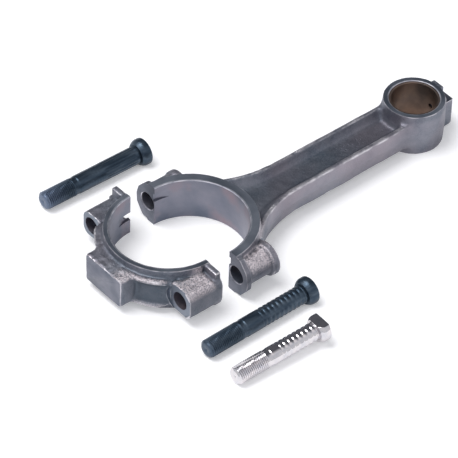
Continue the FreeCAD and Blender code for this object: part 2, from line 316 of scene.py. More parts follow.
rodRings = [((0, 0), (boreR + 0.7, boreR + 5.05)), ((smallX, 0), (bushR + 0.4, bushR + 2.8))]
capRings = [((capX, capY), (boreR + 0.7, boreR + 2.95))]
rodMaterials = [makeForged("forgedSkin", forged["grain"], forged["bump"]), makeMachined("facedRim", rodRings),
                makeBored("boredWall", (0, 0, 0)), makeGround("groundJoint"), makeChamferHighlight("brokenEdge")]
capMaterials = [rodMaterials[0], makeMachined("facedCapRim", capRings),
                makeBored("boredCapWall", (capX, capY, 0)), *rodMaterials[3:]]
skinSlot, facedSlot, boredSlot, groundSlot, brightSlot = range(5)
print("steel materials made")


def softMin(a, b, k):
    h = np.clip(0.5 + 0.5 * (b - a) / k, 0, 1)
    return b * (1 - h) + a * h - k * h * (1 - h)


def softMax(a, b, k):
    return -softMin(-a, -b, k)


def roundBar(along, x0, x1, across, r, k):
    return softMax(across - r, np.abs(along - (x0 + x1) / 2) - (x1 - x0) / 2, k)


def plate(along, x0, x1, u, v, outline, k):
    # a flat plate of a convex outline, its corners given anticlockwise
    edge = None
    for (u0, v0), (u1, v1) in zip(outline, outline[1:] + outline[:1]):
        length = math.hypot(u1 - u0, v1 - v0)
        side = ((v1 - v0) * (u - u0) - (u1 - u0) * (v - v0)) / length
        edge = side if edge is None else np.maximum(edge, side)
    return softMax(edge, np.abs(along - (x0 + x1) / 2) - (x1 - x0) / 2, k)


def lumps(shape, cells, seed):
    made = np.random.default_rng(seed).standard_normal([int(n / cells) + 3 for n in shape])
    for axis, n in enumerate(shape):
        t = np.arange(n) / cells
        low = t.astype(int)
        share = (t - low) ** 2 * (3 - 2 * (t - low))
        share = share.reshape([-1 if a == axis else 1 for a in range(3)])
        made = np.take(made, low, axis) * (1 - share) + np.take(made, low + 1, axis) * share
    return made


def netOver(field, low, step):
    # one point in each cell that the surface passes, one quad over each grid edge that it crosses
    size = [n - 1 for n in field.shape]
    inside = field < 0

    def corner(values, i, j, k):
        return values[i:i + size[0], j:j + size[1], k:k + size[2]]

    total = np.zeros(size + [3])
    hits = np.zeros(size)
    for axis in range(3):
        second, third = (axis + 1) % 3, (axis + 2) % 3
        for a in (0, 1):
            for b in (0, 1):
                start = [0, 0, 0]
                start[second], start[third] = a, b
                end = list(start)
                end[axis] = 1
                f0, f1 = corner(field, *start), corner(field, *end)
                crossed = corner(inside, *start) != corner(inside, *end)
                share = np.where(crossed, f0 / np.where(crossed, f0 - f1, 1), 0)
                total[..., axis] += share
                total[..., second] += crossed * a
                total[..., third] += crossed * b
                hits += crossed
    used = hits > 0
    index = np.full(size, -1)
    index[used] = np.arange(used.sum())
    points = (np.argwhere(used) + total[used] / hits[used][:, None]) * step + np.array(low)
    quads = []
    for axis in range(3):
        order = (axis, (axis + 1) % 3, (axis + 2) % 3)
        turned, number = inside.transpose(order), index.transpose(order)
        here, there = turned[:-1, 1:-1, 1:-1], turned[1:, 1:-1, 1:-1]
        ring = np.stack([number[:, :-1, :-1], number[:, 1:, :-1], number[:, 1:, 1:], number[:, :-1, 1:]], -1)
        quads.append(ring[here & ~there])
        quads.append(ring[~here & there][:, ::-1])
    return points, np.concatenate(quads)


def relax(points, quads, rounds, share):
    pairs = np.concatenate([quads[:, [0, 1]], quads[:, [1, 2]], quads[:, [2, 3]], quads[:, [3, 0]]])
    ends = np.concatenate([pairs, pairs[:, ::-1]])
    count = np.bincount(ends[:, 0], minlength=len(points))[:, None]
    for _ in range(rounds):
        around = [np.bincount(ends[:, 0], column[ends[:, 1]], len(points)) for column in points.T]
        points = points * (1 - share) + share * np.stack(around, 1) / count
    return points


def meshFrom(name, points, faces, materials):
    mesh = bpy.data.meshes.new(name)
    mesh.from_pydata((np.asarray(points) * mm).tolist(), [], [list(map(int, face)) for face in faces])
    for material in materials:
        mesh.materials.append(material)
    piece = bpy.data.objects.new(name, mesh)
    bpy.context.scene.collection.objects.link(piece)
    return piece


def forge(name, fieldOf, low, high, step, materials):
    sizes = [int((h - l) / step) + 2 for l, h in zip(low, high)]
    axes = [l + step * np.arange(n) for l, n in zip(low, sizes)]
    x, y, z = np.meshgrid(*axes, indexing="ij", sparse=True)
    field = fieldOf(x, y, z, sizes, step)
    # closed where it meets the edge of its box
    for axis in range(3):
        for end in (0, -1):
            field[tuple(end if a == axis else slice(None) for a in range(3))] = step
    points, quads = netOver(field, low, step)
    points = relax(points, quads, 2, 0.45)
    print(name, "forged,", len(quads), "quads")
    return meshFrom(name, points, quads, materials)


def faceOut(piece):
    work = bmesh.new()
    work.from_mesh(piece.data)
    bmesh.ops.recalc_face_normals(work, faces=work.faces)
    work.to_mesh(piece.data)
    work.free()


def turned(name, profile, materials, slots, axis, centre, steps=192):
    # a solid of revolution: profile of (along, radius), a slot for each of its bands
    rings = [(a, r) for a, r in profile if r > 0]
    points, faces, kinds = [], [], []
    for a, r in rings:
        for i in range(steps):
            angle = 2 * math.pi * (i + 0.31) / steps    # no corner lands on another cutter's plane
            flat = (r * math.cos(angle), r * math.sin(angle))
            points.append((flat[0], flat[1], a) if axis == "z" else (a, flat[0], flat[1]))
    for band in range(len(rings) - 1):
        for i in range(steps):
            j = (i + 1) % steps
            faces.append((band * steps + i, band * steps + j, (band + 1) * steps + j, (band + 1) * steps + i))
            kinds.append(slots[band])
    faces.append(tuple(reversed(range(steps))))
    faces.append(tuple(range((len(rings) - 1) * steps, len(rings) * steps)))
    kinds += [slots[0], slots[-1]]
    piece = meshFrom(name, np.array(points) + np.array(centre), faces, materials)
    piece.data.polygons.foreach_set("material_index", kinds)
    faceOut(piece)
    return piece


def blockCutter(name, low, high, materials, slot):
    points = [(x, y, z) for x in (low[0], high[0]) for y in (low[1], high[1]) for z in (low[2], high[2])]
    faces = [(0, 1, 3, 2), (4, 6, 7, 5), (0, 4, 5, 1), (2, 3, 7, 6), (0, 2, 6, 4), (1, 5, 7, 3)]
    piece = meshFrom(name, points, faces, materials)
    piece.data.polygons.foreach_set("material_index", [slot] * 6)
    faceOut(piece)
    return piece


def combine(target, tool, operation):
    change = target.modifiers.new("cut", "BOOLEAN")
    change.object = tool
    change.operation = operation
    change.solver = "EXACT"
    change.material_mode = "TRANSFER"
    done = bpy.data.meshes.new_from_object(target.evaluated_get(bpy.context.evaluated_depsgraph_get()))
    target.modifiers.remove(change)
    old = target.data
    target.data = done
    done.name = old.name
    bpy.data.meshes.remove(old)
    bpy.data.objects.remove(tool)


def machine(target, tools):
    first = tools[0]
    for tool in tools[1:]:
        combine(first, tool, "UNION")
    combine(target, first, "DIFFERENCE")


def aroundMean(values, ends, total):
    # mean over each point's neighbours, itself where it has none
    near = np.bincount(ends[:, 0], minlength=total)
    mean = np.stack([np.bincount(ends[:, 0], column[ends[:, 1]], total) for column in values.T], 1)
    return np.where(near[:, None] > 0, mean / np.maximum(near, 1)[:, None], values)


def readPoints(mesh, kind):
    values = np.empty(len(mesh.vertices) * 3)
    mesh.vertices.foreach_get(kind, values)
    return values.reshape(-1, 3)


def finishSteel(piece, angle, masksAt=None):
    # smooth shading, and the masks that the forged skin reads
    mesh = piece.data
    mesh.polygons.foreach_set("use_smooth", [True] * len(mesh.polygons))
    mesh.set_sharp_from_angle(angle=math.radians(angle))
    if masksAt is None:
        return
    total = len(mesh.vertices)
    places, normals = readPoints(mesh, "co") / mm, readPoints(mesh, "normal")
    ends = np.empty(len(mesh.edges) * 2, int)
    mesh.edges.foreach_get("vertices", ends)
    ends = ends.reshape(-1, 2)
    ends = ends[np.linalg.norm(places[ends[:, 0]] - places[ends[:, 1]], axis=1) < wear["longest"]]
    ends = np.concatenate([ends, ends[:, ::-1]])
    bulge = ((places - aroundMean(places, ends, total)) * normals).sum(1)[:, None]
    bulge = (0.5 * bulge + 0.5 * aroundMean(bulge, ends, total))[:, 0]
    touched = np.zeros((total, 2), bool)
    for face in mesh.polygons:
        touched[list(face.vertices), 0 if face.material_index == skinSlot else 1] = True
    rim = np.nonzero(touched.all(1))[0]
    tree = kdtree.KDTree(len(rim))
    for number, index in enumerate(rim):
        tree.insert(places[index], number)
    tree.balance()
    edge = np.array([math.exp(-tree.find(place)[2] / wear["reach"]) if skin else 0.0
                     for place, skin in zip(places, touched[:, 0])])
    masks = masksAt(*places.T, normals)
    # rim edges and convex crests are lightened here, partly wear and partly a painted highlight
    masks["edge"] = np.maximum(np.maximum(edge, masks.get("edge", 0)), fade(bulge, *wear["crest"]))
    # hollow: painted shade in concave places
    masks["hollow"] = np.maximum(masks["hollow"], fade(-bulge, *wear["hollow"]))
    for name, values in masks.items():
        mesh.attributes.new(name, "FLOAT", "POINT").data.foreach_set("value", values)


wear = {"longest": 1.3, "reach": 0.4, "crest": (0.022, 0.07), "hollow": (0.015, 0.07)}


def fade(value, start, end):
    return np.clip((value - start) / (end - start), 0, 1)


rod = {"step": 0.62, "rimWall": 5.05, "rimOver": 0.6, "rimDraft": 0.5, "shoulderWall": 1.0,
       "shoulderHalf": 4.6, "beamWide": 11.0, "beamNarrow": 10.4, "flareR": 57.0, "flareX": 60.0,
       "beamDraft": 0.9, "webHalf": 2.6, "crestHalf": 7.4, "flangeTop": 2.0, "floorShare": 0.52,
       "pocketGap": -1.2, "pocketRound": 3.4, "pocketCurve": 1.9, "flash": 0.2,
       "smallWall": 2.8, "plate": 3.4,
       "bossWall": 2.4, "nearFlange": 4.1, "farFlange": 3.2, "flange": 3.5, "seatX": 20.5, "seatR": 9.7,
       "tipX": 20.0, "tipHalf": 7.5, "tipTop": 8.6, "tipCut": 3.2, "oilR": 1.4,
       "crestBlend": 0.5, "rimBlend": 1.5, "ringBlend": 2.6, "earBlend": 0.9, "tipBlend": 2.0,
       "earOutline": [(24, -11.3), (37.2, -11.0), (41.6, -5.0), (42.0, 0.5), (40.6, 5.4), (36.0, 10.6),
                      (24, 11.3)]}
tang = {"slot": 4.8, "depth": 1.1, "length": 8.0, "rodZ": 5.6, "capZ": -0.7}
bore = {"chamfer": 0.4, "holeChamfer": 0.4}


def beamHalf(x):
    flare = np.sqrt(np.maximum(rod["flareR"] ** 2 - (rod["flareX"] - np.minimum(x, rod["flareX"])) ** 2, 0))
    taper = (rod["beamNarrow"] - rod["beamWide"]) * fade(x, rod["flareX"], smallX)
    return rod["beamWide"] + taper + rod["flareR"] - flare


def rodField(x, y, z, sizes, step):
    big = np.hypot(x, y)
    small = np.hypot(x - smallX, y)
    side, depth = np.abs(y), np.abs(z)
    # beam with a rounded pocket on both faces
    half = beamHalf(x)
    crestAt = half - rod["flangeTop"]
    pocketEnd = smallX - bushR - rod["smallWall"] - rod["pocketGap"]
    across = np.maximum(side / crestAt - rod["floorShare"], 0) / (1 - rod["floorShare"])
    along = np.maximum(x - pocketEnd + rod["pocketRound"], 0) / rod["pocketRound"]
    rise = np.clip(np.hypot(across, along), 0, 1) ** rod["pocketCurve"]
    top = rod["webHalf"] + (rod["crestHalf"] - rod["webHalf"]) * rise
    out = half + rod["beamDraft"] * (1 - depth / rod["crestHalf"]) + rod["flash"] * np.exp(-(z / 0.7) ** 2)
    beam = softMax(side - out, depth - top, rod["crestBlend"])
    beam = np.maximum(beam, np.maximum(15.0 - x, x - smallX))
    rawHalf = halfWidth + rod["rimOver"]
    draft = rod["rimDraft"] * (1 - depth / halfWidth)
    rim = softMax(big - boreR - rod["rimWall"] - draft, depth - rawHalf, 0.6)
    shoulder = softMax(big - boreR - rod["rimWall"] - rod["shoulderWall"], depth - rod["shoulderHalf"], 1.5)
    body = softMin(softMin(beam, rim, rod["rimBlend"]), shoulder, 1.2)
    ring = softMax(small - bushR - rod["smallWall"] - draft, depth - rawHalf, 0.6)
    body = softMin(body, ring, rod["ringBlend"])
    # ears: joint plate, bolt boss and head flange
    arm = np.hypot(side - boltY, z)
    ear = plate(x, -2.0, rod["plate"], side, z, rod["earOutline"], 0.35)
    boss = roundBar(x, -2.0, rod["seatX"], arm, holeR + rod["bossWall"], 0.8)
    flangeR = holeR + np.where(y < 0, rod["nearFlange"], rod["farFlange"])
    flange = roundBar(x, rod["seatX"] - rod["flange"], rod["seatX"] + 0.6, arm, flangeR, 0.7)
    ears = softMin(softMin(ear, boss, 0.8), flange, 0.8)
    body = softMin(body, ears, rod["earBlend"])
    # balance pad past the small end
    low, high = benchZ + 0.6, rod["tipTop"]
    pad = softMax(side - rod["tipHalf"], np.abs(z - (low + high) / 2) - (high - low) / 2, 1.6)
    pad = softMax(pad, np.maximum(smallX - x, x - smallX - rod["tipX"] - 0.5), 1.0)
    body = softMin(body, pad, rod["tipBlend"])
    skin = 0.06 * lumps(sizes, 9.0 / step, 11) + 0.03 * lumps(sizes, 2.6 / step, 12)
    pitted = fade(z, 2.0, 6.0) * fade(-y, 20, 24) * fade(x, rod["plate"], rod["plate"] + 1)
    pitted = pitted * (arm < 11.5) * (x < 17.0)
    return body + skin + pitted * 0.13 * lumps(sizes, 1.6 / step, 13)


def tangCutter(side, z, centre, materials):
    # deepest at the joint face, runs out in the bore
    fall = tang["depth"] + boreR - math.sqrt(boreR ** 2 - tang["length"] ** 2)
    r = (tang["length"] ** 2 + fall ** 2) / (2 * fall)
    middle = (centre[0], centre[1] + side * (boreR + tang["depth"] - r), z)
    half = tang["slot"] / 2
    return turned("tangCutter", [(-half, r), (half, r)], materials, [boredSlot], "z", middle)


def boreCutter(name, r, centre, materials, chamfer):
    far = halfWidth + 3
    straight, wide = halfWidth - chamfer, r + chamfer + 3
    profile = [(-far, wide), (-straight, r), (straight, r), (far, wide)]
    return turned(name, profile, materials, [brightSlot, boredSlot, brightSlot], "z", centre)


def holeCutter(reach, y, centre, materials):
    # a bolt hole along X from the joint face at x 0, its mouth broken; reach is negative on the cap
    c, way = bore["holeChamfer"], math.copysign(1, reach)
    profile = [(-3 * way, holeR + c + 3), (c * way, holeR), (reach, holeR)]
    place = (centre[0], centre[1] + y, 0)
    return turned("holeCutter", profile, materials, [brightSlot, boredSlot], "x", place, 64)


def makeRod():
    low = (-1.4, -earOut - 1.4, -halfWidth - 1.6)
    high = (smallX + rod["tipX"] + 1.6, earOut + 1.4, halfWidth + 1.6)
    piece = forge("rodForging", rodField, low, high, rod["step"], rodMaterials)
    # the blocks end a little apart from each other, so that no two share a plane
    far = 60.0
    tools = [blockCutter("topCut", (-far, -far, halfWidth), (3.5 * far, far, far), rodMaterials, facedSlot)]
    tools.append(blockCutter("lowCut", (-far, -far, -far), (3.5 * far, far, -halfWidth),
                             rodMaterials, facedSlot))
    tools.append(blockCutter("jointCut", (-far - 1, -far - 1, -far - 1), (0, far + 1, far + 1),
                             rodMaterials, groundSlot))
    tools.append(boreCutter("boreCut", boreR, (0, 0, 0), rodMaterials, bore["chamfer"]))
    tools.append(boreCutter("bushCut", bushR, (smallX, 0, 0), rodMaterials, 0.3))
    tools.append(blockCutter("tipCutter", (smallX + rod["tipX"], -20, -far - 2), (3.6 * far, 20, far + 2),
                             rodMaterials, groundSlot))
    stepLow = (smallX + bushR + rod["smallWall"] - 0.6, -21, rod["tipTop"] - rod["tipCut"])
    tools.append(blockCutter("stepCut", stepLow, (3.6 * far + 1, 0, far + 3), rodMaterials, groundSlot))
    for side in (1, -1):
        tools.append(holeCutter(rod["seatX"] + 3, side * boltY, (0, 0), rodMaterials))
        tools.append(turned("seatCut", [(rod["seatX"], rod["seatR"]), (rod["seatX"] + 11, rod["seatR"])],
                            rodMaterials, [facedSlot], "x", (0, side * boltY, 0), 96))
        tools.append(tangCutter(side, tang["rodZ"], (0, 0), rodMaterials))
    tools.append(turned("oilCut", [(smallX, rod["oilR"]), (smallX + rod["tipX"] + 4, rod["oilR"])],
                        rodMaterials, [boredSlot], "x", (0, 0, 0), 32))
    machine(piece, tools)
    finishSteel(piece, 32, rodMasks)
    return piece


def rodMasks(x, y, z, normals):
    # bright pitted top of the near boss, partly pale metal and partly a painted glint; painted reflection
    # lightening the outward flanks; painted highlight on the flange crests; a blush in the pocket and painted
    # shade on its floor
    side = np.abs(y)
    arm = np.hypot(side - boltY, z)
    near = fade(-y, 12, 20)
    boss = near * fade(z, 1.0, 5.0) * fade(x, 3.6, 5.0) * fade(x, 18.5, 16.5) * fade(arm, 9.5, 8.2)
    root = 0.55 * near * fade(z, 4.0, 7.0) * fade(x, 18, 21) * fade(x, 34, 27)
    # painted reflection: faces turned out to the sides of the beam are lightened
    outward = fade(np.sign(y) * normals[:, 1], 0.45, 0.9) * fade(np.abs(z), 9.5, 8.0)
    flank = outward * (fade(x, 30, 38) - 0.55 * fade(x, 124, 130)) * fade(z, -9.0, 4.0)
    inPocket = fade(x, 88, 112) * fade(x, 131, 127) * fade(side, 7.0, 4.0)
    crest = np.exp(-((side - beamHalf(x) - 0.1) / 0.45) ** 2) * fade(z, 5.4, 6.6)
    crest = crest * fade(x, 33, 37) * fade(x, 128, 122)
    # painted shade on the flat pocket floor
    floorShade = fade(np.abs(z), 5.4, 3.2) * fade(x, 34, 40) * fade(np.abs(normals[:, 1]), 0.7, 0.4)
    return {"bright": np.clip(np.maximum(boss, root), 0, 1), "flank": np.clip(flank, 0, 1),
            "edge": 0.8 * crest, "blush": 0.6 * inPocket * fade(z, 5.0, 3.4) * (z > 0),
            "hollow": 0.6 * floorShade}


rodPiece = makeRod()
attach(rodPiece, "rod")
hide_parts("rod_forging")
print("rod made,", len(rodPiece.data.polygons), "faces")


cap = {"step": 0.56, "rimWall": 2.95, "shellWall": 7.2, "shellHalf": 8.2, "channelHalf": 6.6,
       "channelDepth": 2.6, "seatX": 19.8, "plate": 2.8, "padX": 39.7, "padHalf": 13.3, "padTall": 8.3,
       "spotR": 8.5, "near": {"out": 41.2, "half": 7.7, "round": 3.0},
       "far": {"out": 40.0, "half": 7.2, "round": 4.4},
       "wing": [(24, -11.3), (36.4, -11.0), (39.4, -9.0), (39.4, 11.3), (24, 11.5)],
       "wingFoot": [(24, -9.0), (40.0, -8.3), (41.6, -4.0), (41.6, 4.4), (24, 4.4)]}


def capBoss(x, side, depth, shape):
    block = np.hypot(np.maximum(side - shape["out"] + shape["round"], 0),
                     np.maximum(depth - shape["half"] + shape["round"], 0)) - shape["round"]
    boss = softMax(block, np.abs(x + cap["seatX"] / 2 - 1) - cap["seatX"] / 2 - 1.6, 0.4)
    return softMax(boss, boreR - 1 - side, 0.5)


def capField(x, y, z, sizes, step):
    x, y = x - capX, y - capY
    big = np.hypot(x, y)
    side, depth = np.abs(y), np.abs(z)
    rawHalf = halfWidth + 0.6
    rim = softMax(big - boreR - cap["rimWall"] - 0.4 * (1 - depth / halfWidth), depth - rawHalf, 0.5)
    hollow = cap["channelDepth"] * np.sqrt(np.clip(1 - (depth / cap["channelHalf"]) ** 2, 0, 1))
    shellTop = cap["shellHalf"] - 2.2 * fade(side, 24, 28)
    shell = softMax(big - boreR - cap["shellWall"] + hollow, depth - shellTop, 0.7)
    body = softMin(rim, shell, 1.2)
    # balance pad on the crown, and a nut boss and joint plate on each side
    pad = softMax(side - cap["padHalf"], depth - cap["padTall"], 1.4)
    pad = softMax(pad, -x - cap["padX"] - 0.5, 1.6)
    body = softMin(body, np.maximum(pad, x + 20), 0.8)
    boss = np.where(y < 0, capBoss(x, side, depth, cap["near"]), capBoss(x, side, depth, cap["far"]))
    wing = np.minimum(plate(x, -cap["plate"], 2.0, side, z, cap["wing"], 0.35),
                      plate(x, -cap["plate"], 2.0, side, z, cap["wingFoot"], 0.35))
    body = softMin(softMin(body, boss, 0.7), wing, 0.45)
    skin = 0.07 * lumps(sizes, 8.0 / step, 21) + 0.04 * lumps(sizes, 2.4 / step, 22)
    rough = fade(z, 6.0, 7.5) * (big > boreR + cap["rimWall"] + 1.2) * (x < -cap["plate"] - 0.6)
    return body + skin + rough * 0.12 * lumps(sizes, 1.5 / step, 23)


def capMasks(x, y, z, normals):
    # bright pitted near boss, shelf beside it and lower rib, partly pale metal and partly a painted glint;
    # painted shade in the channel; the rest stays dull
    x, y = x - capX, y - capY
    big = np.hypot(x, y)
    boss = fade(z, 3.0, 6.6) * fade(-y, 29.6, 30.8) * fade(-x, 3.4, 5.0)
    shelf = fade(-y, 4, 10) * fade(z, 6.8, 7.9) * fade(big, boreR + 4.2, boreR + 5.4) * fade(-x, 15, 18)
    lowRib = 0.7 * fade(-z, 6.0, 7.4) * fade(big, boreR + 5.0, boreR + 6.4)
    lowRib = lowRib * fade(-y, 13, 15) * fade(-x, 16, 20)
    channelShade = fade(boreR + cap["shellWall"] - big, 0.4, 1.6) * (big > boreR + 4) * fade(np.abs(z), 6.6, 5.8)
    crown = fade(-x, 38.6, 39.3)
    return {"bright": np.clip(np.maximum(np.maximum(boss, shelf), lowRib), 0, 1), "flank": 0.35 * crown,
            "blush": 0.5 * crown * fade(y, -8, 10), "hollow": 0.85 * channelShade}


def makeCap():
    low = (capX - cap["padX"] - 1.6, capY - earOut - 1.4, -halfWidth - 1.6)
    high = (capX + 1.5, capY + earOut + 1.4, halfWidth + 1.6)
    piece = forge("rodCap", capField, low, high, cap["step"], capMaterials)
    far = 60.0
    tools = [blockCutter("topCut", (-2 * far, -far, halfWidth), (far, far, far), capMaterials, facedSlot)]
    tools.append(blockCutter("lowCut", (-2 * far, -far, -far), (far, far, -halfWidth),
                             capMaterials, facedSlot))
    tools.append(blockCutter("jointCut", (capX, -far - 1, -far - 1), (far + 1, far + 1, far + 1),
                             capMaterials, groundSlot))
    tools.append(blockCutter("padCut", (-2 * far - 1, -far - 2, -far - 2),
                             (capX - cap["padX"], far + 2, far + 2), capMaterials, groundSlot))
    tools.append(boreCutter("boreCut", boreR, (capX, capY, 0), capMaterials, bore["chamfer"]))
    for side in (1, -1):
        tools.append(holeCutter(-cap["seatX"] - 3, side * boltY, (capX, capY), capMaterials))
        tools.append(turned("spotCut", [(-cap["seatX"] - 8.3, cap["spotR"]), (-cap["seatX"], cap["spotR"])],
                            capMaterials, [facedSlot], "x", (capX, capY + side * boltY, 0), 96))
    tools.append(tangCutter(1, tang["capZ"], (capX, capY), capMaterials))
    machine(piece, tools)
    finishSteel(piece, 32, capMasks)
    return piece


capPiece = makeCap()
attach(capPiece, "cap")
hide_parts("rod_cap")
print("cap made,", len(capPiece.data.polygons), "faces")


bolt = {"shankR": 4.76, "pitch": 1.058, "threadDepth": 0.6, "headR": 7.1, "headHeight": 5.4, "flat": 5.0,
        "seatR": 5.75, "cone": 2.9, "edge": 0.6, "neckCut": 0.22, "tip": 0.9, "around": 96}


def buildBoltShape():
    # cuts the helical thread, the ribs and the flutes into a plain bolt, and flattens its head
    tree = bpy.data.node_groups.new("boltShape", "GeometryNodeTree")
    tree.interface.new_socket(name="Geometry", in_out="INPUT", socket_type="NodeSocketGeometry")
    numbers = ["Thread Start", "Thread End", "Pitch", "Thread Depth", "Rib Start", "Rib End", "Rib Pitch",
               "Rib Depth", "Flute Start", "Flute End", "Flute Count", "Flute Depth", "Head Start",
               "Head Flat"]
    for name in numbers:
        tree.interface.new_socket(name=name, in_out="INPUT", socket_type="NodeSocketFloat")
    tree.interface.new_socket(name="Finish", in_out="INPUT", socket_type="NodeSocketMaterial")
    tree.interface.new_socket(name="Geometry", in_out="OUTPUT", socket_type="NodeSocketGeometry")
    given = tree.nodes.new("NodeGroupInput").outputs
    x, y, z = splitPlace(tree, put(tree, "GeometryNodeInputPosition").outputs[0])
    radius = distance(tree, y, z)
    angle = maths(tree, "ARCTAN2", z, y)

    def window(start, end, soft):
        up = over(tree, minus(tree, x, given[start]), soft, clamp=True)
        return times(tree, up, over(tree, minus(tree, given[end], x), soft, clamp=True))

    turn = minus(tree, over(tree, x, given["Pitch"]), over(tree, angle, math.tau))
    phase = maths(tree, "ABSOLUTE", minus(tree, maths(tree, "FRACT", turn), 0.5))
    valley = minus(tree, 1.0, maths(tree, "MULTIPLY_ADD", phase, 2.6, -0.17), clamp=True)
    threadCut = times(tree, times(tree, valley, given["Thread Depth"]),
                      window("Thread Start", "Thread End", 0.9 * mm))
    ripple = times(tree, over(tree, minus(tree, x, given["Rib Start"]), given["Rib Pitch"]), math.pi)
    wave = maths(tree, "ABSOLUTE", maths(tree, "SINE", ripple))
    ribCut = times(tree, times(tree, minus(tree, 1.0, wave), given["Rib Depth"]),
                   window("Rib Start", "Rib End", 0.3 * mm))
    lobe = maths(tree, "COSINE", times(tree, angle, given["Flute Count"]))
    groove = maths(tree, "POWER", maths(tree, "MULTIPLY_ADD", lobe, 0.5, 0.5), 3.0)
    fluteCut = times(tree, times(tree, groove, given["Flute Depth"]),
                     window("Flute Start", "Flute End", 1.2 * mm))
    cut = plus(tree, plus(tree, threadCut, ribCut), fluteCut)
    shrink = over(tree, minus(tree, radius, cut), maths(tree, "MAXIMUM", radius, 0.01 * mm))
    newY, newZ = times(tree, y, shrink), times(tree, z, shrink)
    flatZ = maths(tree, "MAXIMUM", newZ, times(tree, given["Head Flat"], -1.0))
    inHead = maths(tree, "GREATER_THAN", x, given["Head Start"])
    endZ = plus(tree, times(tree, inHead, flatZ), times(tree, minus(tree, 1.0, inHead), newZ))
    target = put(tree, "ShaderNodeCombineXYZ", {"X": x, "Y": newY, "Z": endZ}).outputs[0]
    moved = put(tree, "GeometryNodeSetPosition", {"Geometry": given["Geometry"], "Position": target})
    real = put(tree, "GeometryNodeRealizeInstances", {"Geometry": moved.outputs[0]}).outputs[0]
    painted = put(tree, "GeometryNodeSetMaterial", {"Geometry": real, "Material": given["Finish"]})
    put(tree, "NodeGroupOutput", {"Geometry": painted.outputs[0]})
    return tree


boltShape = buildBoltShape()


def spread(x0, x1, r0, r1, step):
    count = max(1, int(abs(x1 - x0) / step))
    return [(x0 + (x1 - x0) * i / count, r0 + (r1 - r0) * i / count) for i in range(1, count + 1)]


def boltBlank(name, length, thread, material):
    # plain turned blank: centre dimple, tip chamfer, thread stretch, relieved neck, shank, head
    r, under = bolt["shankR"], length - bolt["headHeight"]
    rings = [(0.7, 0.02), (0.0, 1.1), (0.0, r - bolt["tip"] - 0.45), (0.12, r - bolt["tip"] - 0.2)]
    rings += spread(0.12, bolt["tip"] + 0.1, r - bolt["tip"] - 0.2, r - 0.04, 0.25)
    rings += spread(bolt["tip"] + 0.1, thread, r - 0.04, r - 0.04, 0.115)
    neck = r - bolt["neckCut"]
    rings += spread(thread, thread + 0.6, r - 0.04, neck, 0.2)
    rings += spread(thread + 0.6, thread + 2.4, neck, neck, 0.4)
    rings += spread(thread + 2.4, thread + 3.0, neck, r, 0.2)
    rings += spread(thread + 3.0, under - 0.7, r, r, 0.3)
    rings += [(under - 0.7 * math.cos(a), r + 0.7 - 0.7 * math.sin(a))
              for a in (math.pi * 0.12, math.pi * 0.25, math.pi * 0.38)]
    # head: bearing ring, sloped underside, narrow side, rounded far edge
    e, head = bolt["edge"], bolt["headR"]
    seat, cone = bolt["seatR"], bolt["cone"]
    rings += [(under, r + 0.75), (under, seat)]
    rings += [(under + cone * t, seat + (head - seat) * math.sin(t * math.pi / 2))
              for t in (0.12, 0.3, 0.5, 0.75, 1.0)]
    rings += [(length - e + e * math.sin(a), head - e + e * math.cos(a)) for a in (0, 0.5, 1.05, math.pi / 2)]
    rings += [(length, head - e - 1.2)]
    rings += [(length - 0.25, r0) for r0 in (head - e - 1.8, 1.0, 0.02)]
    steps = bolt["around"]
    angles = np.arange(steps) * math.tau / steps
    points = np.array([(x, ring * math.cos(a), ring * math.sin(a)) for x, ring in rings for a in angles])
    faces = []
    for band in range(len(rings) - 1):
        for i in range(steps):
            j = (i + 1) % steps
            faces.append((band * steps + i, (band + 1) * steps + i, (band + 1) * steps + j, band * steps + j))
    faces.append(tuple(range(steps)))
    faces.append(tuple(reversed(range((len(rings) - 1) * steps, len(rings) * steps))))
    return meshFrom(name, points, faces, [material])


def makeBolt(name, node, values, material):
    piece = boltBlank(name, values["length"], values["thread"], material)
    under = values["length"] - bolt["headHeight"]
    shape = piece.modifiers.new("boltShape", "NODES")
    shape.node_group = boltShape
    own = {"threadStart": 0.3, "threadEnd": values["thread"], "headStart": under - 0.01,
           "headFlat": bolt["flat"], **bolt, **values}
    for item in boltShape.interface.items_tree:
        key = item.name[0].lower() + item.name[1:].replace(" ", "")
        if item.name == "Finish":
            shape[item.identifier] = material
        elif item.in_out == "INPUT" and key in own:
            shape[item.identifier] = own[key] * (1.0 if key == "fluteCount" else mm)
    shape.show_viewport = True
    bpy.context.view_layer.update()
    done = bpy.data.meshes.new_from_object(piece.evaluated_get(bpy.context.evaluated_depsgraph_get()))
    piece.modifiers.remove(shape)
    piece.data = done
    faceOut(piece)
    tip = done.attributes.new("tip", "FLOAT", "POINT")
    tip.data.foreach_set("value", 1 - fade(readPoints(done, "co")[:, 0] / mm, 0, values["tipFade"]))
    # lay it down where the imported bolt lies, on its thread and its head
    low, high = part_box(node)
    headLow = bolt["headR"] if values["flatUp"] else bolt["flat"]
    tilt = math.asin((headLow - bolt["shankR"]) / (values["length"] - bolt["headHeight"] / 2))
    heading = math.radians(values["heading"])
    turn = Matrix.Rotation(heading, 4, "Z") @ Matrix.Rotation(-tilt, 4, "Y")
    if values["flatUp"]:
        turn = turn @ Matrix.Rotation(math.pi, 4, "X")
    axis = turn @ Vector((values["length"] * mm, 0, 0))
    endX = high.x - (bolt["headR"] - bolt["edge"]) * mm * abs(math.sin(heading))
    start = Vector((endX, (low.y + high.y) / 2, 0)) - axis
    start.z = (benchZ + bolt["shankR"]) * mm
    done.transform(Matrix.Translation(start) @ turn)
    lowest = min(vertex.co.z for vertex in done.vertices)
    done.transform(Matrix.Translation((0, 0, benchZ * mm - lowest)))
    finishSteel(piece, 40)
    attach(piece, values["body"])
    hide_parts(node)
    print(name, "made,", len(done.polygons), "faces")
    return piece


oxide = {"base": (0.040, 0.062, 0.090, 1), "streak": (0.085, 0.115, 0.15, 1), "tip": (0.16, 0.20, 0.29, 1),
         "streaks": (90, 420, 420), "grain": 2600.0, "bump": 0.02}


